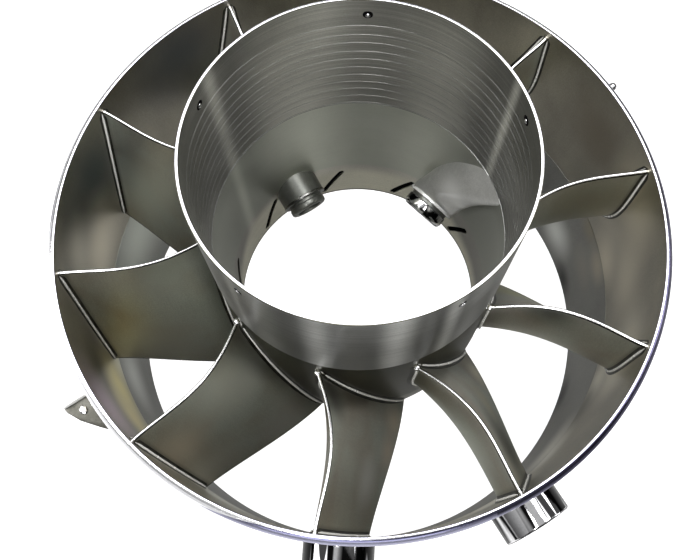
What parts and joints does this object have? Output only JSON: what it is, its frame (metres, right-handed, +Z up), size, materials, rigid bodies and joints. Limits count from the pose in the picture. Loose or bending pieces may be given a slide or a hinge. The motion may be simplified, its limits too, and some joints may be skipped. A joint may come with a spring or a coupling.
{
  "type": "compressor guide vane casing",
  "caption": "Round steel casing with curved fixed guide vanes round a tubular hub; round service bosses and a side lug stand out under the polished rim.",
  "frame": {"origin": "bottom centre of the whole outline, at the casing's lower edge; the flow axis runs 9.3 mm from it, towards +Y", "axes": "+Z up along the flow axis, from the outlet edge to the hub's front; -Y towards the longer service boss, which makes Y the longest extent"},
  "size_m": [0.4104, 0.429, 0.3163],
  "materials": {
    "casing_steel": "satin, tan heat tint",
    "vane_steel": "satin, dark olive grey",
    "hub_steel": "brushed round the axis",
    "socket_steel": "satin",
    "polished_edge": "polished",
    "polished_fitting": "mirror polished"
  },
  "bodies": {
    "root": {"casing_barrel": "casing_steel", "casing_rim_ring": "polished_edge", "casing_tail_band": "hub_steel", "hub_body": "vane_steel", "hub_front_ring": "hub_steel", "hub_pin_1": "polished_fitting", "hub_pin_2": "polished_fitting", "hub_pin_3": "polished_fitting", "hub_pin_4": "polished_fitting", "hub_pin_5": "polished_fitting", "hub_socket_1": "socket_steel", "hub_socket_2": "socket_steel", "hub_tail": "casing_steel", "lug_gusset": "hub_steel", "lug_plate": "polished_edge", "lug_screw": "polished_fitting", "service_boss_1": "polished_fitting", "service_boss_2": "polished_fitting", "stub_pin": "polished_fitting", "vane_01": "vane_steel", "vane_02": "vane_steel", "vane_03": "vane_steel", "vane_04": "vane_steel", "vane_05": "vane_steel", "vane_06": "vane_steel", "vane_07": "vane_steel", "vane_08": "vane_steel", "vane_09": "vane_steel", "vane_10": "vane_steel"}
  },
  "joints": []
}
